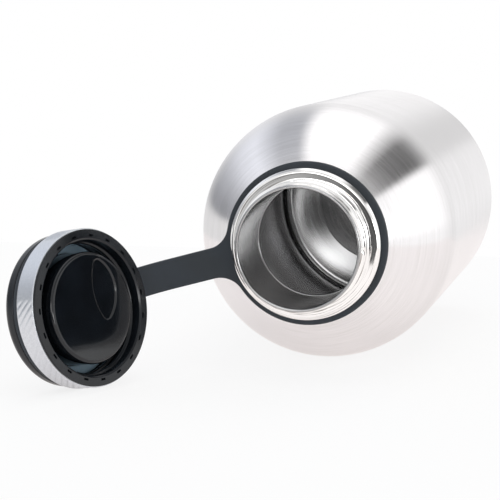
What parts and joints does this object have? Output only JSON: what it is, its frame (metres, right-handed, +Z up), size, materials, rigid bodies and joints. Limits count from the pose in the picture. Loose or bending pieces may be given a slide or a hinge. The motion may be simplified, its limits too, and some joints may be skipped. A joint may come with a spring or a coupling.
{
  "type": "growler",
  "caption": "Double-walled steel growler lying on its side, with a threaded neck and a screw cap with a steel grip band that hangs on a soft strap.",
  "frame": {"origin": "centre of the mouth, on the bottle's axis, level with the top of the rolled lip", "axes": "+Y runs along the bottle's axis from the mouth to the base, +Z is up with the bottle lying on its side, +X is away from the cap"},
  "size_m": [0.1864, 0.317, 0.127],
  "materials": {
    "brushed_steel": "brushed round the axis",
    "polished_steel": "mirror polished",
    "liner_steel": "electropolished satin",
    "copper_foil": "bright foil",
    "getter": "pressed powder",
    "seal_glass": "fused glass bead",
    "cap_plastic": "moulded, fine satin",
    "band_steel": "serrated, brushed",
    "plug_plastic": "moulded, gloss",
    "foam": "closed-cell foam",
    "gasket_silicone": "moulded silicone",
    "strap_silicone": "moulded silicone, matte"
  },
  "bodies": {
    "bottle": {"shoulder_dome": "brushed_steel", "body_tube": "brushed_steel", "base_plate": "brushed_steel", "neck_ring": "polished_steel", "liner_top": "liner_steel", "liner_wall": "liner_steel", "liner_bottom": "liner_steel", "copper_foil": "copper_foil", "getter": "getter", "vacuum_seal": "seal_glass"},
    "strap_root": {"strap_collar": "strap_silicone", "strap_arm": "strap_silicone"},
    "strap_tip": {"strap_loop": "strap_silicone"},
    "cap": {"cap_skirt": "cap_plastic", "cap_band": "band_steel", "cap_plug": "plug_plastic", "cap_foam": "foam", "cap_gasket": "gasket_silicone", "cap_top": "cap_plastic"}
  },
  "joints": [
    {"name": "collar_swivel", "type": "hinge", "parent": "bottle", "child": "strap_root", "pos_m": [0, 0.0225, 0], "axis": [0, 1, 0], "continuous": true},
    {"name": "strap_bend", "type": "hinge", "parent": "strap_root", "child": "strap_tip", "pos_m": [-0.07857, 0.0225, -0.02184], "axis": [-0.2678, 0, 0.9635], "range_deg": [-155, 65], "deforming": ["strap_arm"]},
    {"name": "cap_spin", "type": "hinge", "parent": "strap_tip", "child": "cap", "pos_m": [-0.10029, -0.02477, -0.02788], "axis": [-0.8869, 0.4294, -0.1705], "continuous": true}
  ]
}
